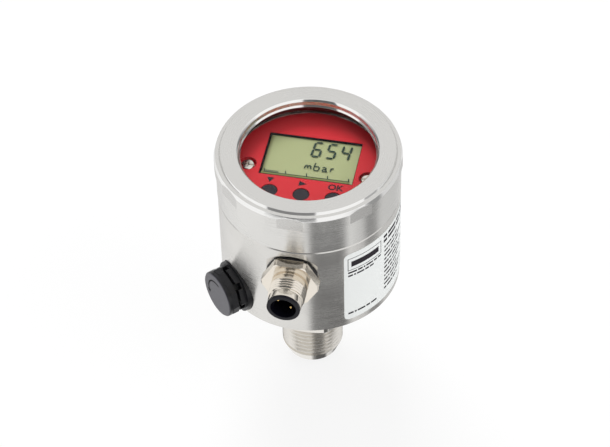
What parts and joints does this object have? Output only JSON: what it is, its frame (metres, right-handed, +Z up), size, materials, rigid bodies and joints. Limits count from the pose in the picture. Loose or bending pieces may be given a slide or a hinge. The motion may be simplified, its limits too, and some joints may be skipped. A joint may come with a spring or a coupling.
{
  "type": "pressure transmitter",
  "caption": "Round steel pressure transmitter with a threaded process stem, a screw cap with a window over a display and push buttons, a side connector and a vent plug.",
  "frame": {"origin": "on the housing's axis, at the upper end of the process thread where it meets the hexagon collar", "axes": "+Z up along the housing's axis, from the process thread to the cap; -Y out through the M12 connector; +X to the right of a reader of the display"},
  "size_m": [0.062, 0.0736, 0.098],
  "materials": {
    "steel": "turned and finely brushed stainless steel",
    "diaphragm_steel": "thin bright sheet",
    "board": "solder-masked laminate",
    "black_plastic": "moulded",
    "red_plastic": "satin moulded cover",
    "button_grey": "soft matt",
    "reflector": "grey-green film",
    "display": "polarising film on glass",
    "seal_rubber": "black elastomer",
    "window": "clear flat pane",
    "nickel": "nickel plate",
    "vent_plastic": "glass-filled, fine matt grain",
    "membrane": "white sintered film",
    "label_film": "white film",
    "brass_posts": "plain turned",
    "gold": "gold plate",
    "lead_sleeve": "insulated lead"
  },
  "bodies": {
    "housing": {"housing_body": "steel", "process_connection": "steel", "sensor_cell": "steel", "process_diaphragm": "diaphragm_steel", "sensor_board": "board", "main_board": "board", "display_board": "board", "board_stacker": "black_plastic", "lcd_carrier": "black_plastic", "switch_down": "black_plastic", "switch_next": "black_plastic", "switch_ok": "black_plastic", "connector_insert": "black_plastic", "display_cover": "red_plastic", "lcd_reflector": "reflector", "lcd_glass": "display", "connector_seal": "seal_rubber", "vent_seal": "seal_rubber", "connector_shell": "nickel", "cover_screw_left": "nickel", "cover_screw_right": "nickel", "vent_body": "vent_plastic", "vent_cap": "vent_plastic", "vent_membrane": "membrane", "type_label": "label_film", "cover_post_left": "brass_posts", "cover_post_right": "brass_posts", "lower_standoff_1": "brass_posts", "lower_standoff_2": "brass_posts", "lower_standoff_3": "brass_posts", "upper_standoff_1": "brass_posts", "upper_standoff_2": "brass_posts", "upper_standoff_3": "brass_posts", "contact_pin_1": "gold", "contact_pin_2": "gold", "signal_lead_1": "lead_sleeve", "signal_lead_2": "lead_sleeve"},
    "seal_carrier": {"cap_seal": "seal_rubber"},
    "cap": {"cap_ring": "steel", "window_gasket": "seal_rubber", "window_glass": "window", "glass_retainer": "steel"},
    "button_down": {"button_down": "button_grey"},
    "button_next": {"button_next": "button_grey"},
    "button_ok": {"button_ok": "button_grey"}
  },
  "joints": [
    {"name": "cap_lift", "type": "slide", "parent": "housing", "child": "seal_carrier", "axis": [0, 0, 1], "range_m": [0, 0.0075]},
    {"name": "cap_turn", "type": "hinge", "parent": "seal_carrier", "child": "cap", "pos_m": [0, 0, 0.0576], "axis": [0, 0, 1], "range_deg": [0, 1800]},
    {"name": "press_down", "type": "slide", "parent": "housing", "child": "button_down", "axis": [0, 0, -1], "range_m": [0, 0.0005], "stiffness_N_per_m": 800, "springref_m": -0.001},
    {"name": "press_next", "type": "slide", "parent": "housing", "child": "button_next", "axis": [0, 0, -1], "range_m": [0, 0.0005], "stiffness_N_per_m": 800, "springref_m": -0.001},
    {"name": "press_ok", "type": "slide", "parent": "housing", "child": "button_ok", "axis": [0, 0, -1], "range_m": [0, 0.0005], "stiffness_N_per_m": 800, "springref_m": -0.001}
  ],
  "couplings": [
    {"joint": "cap_lift", "follows": "cap_turn", "m_per_rad": 0.00023873}
  ]
}
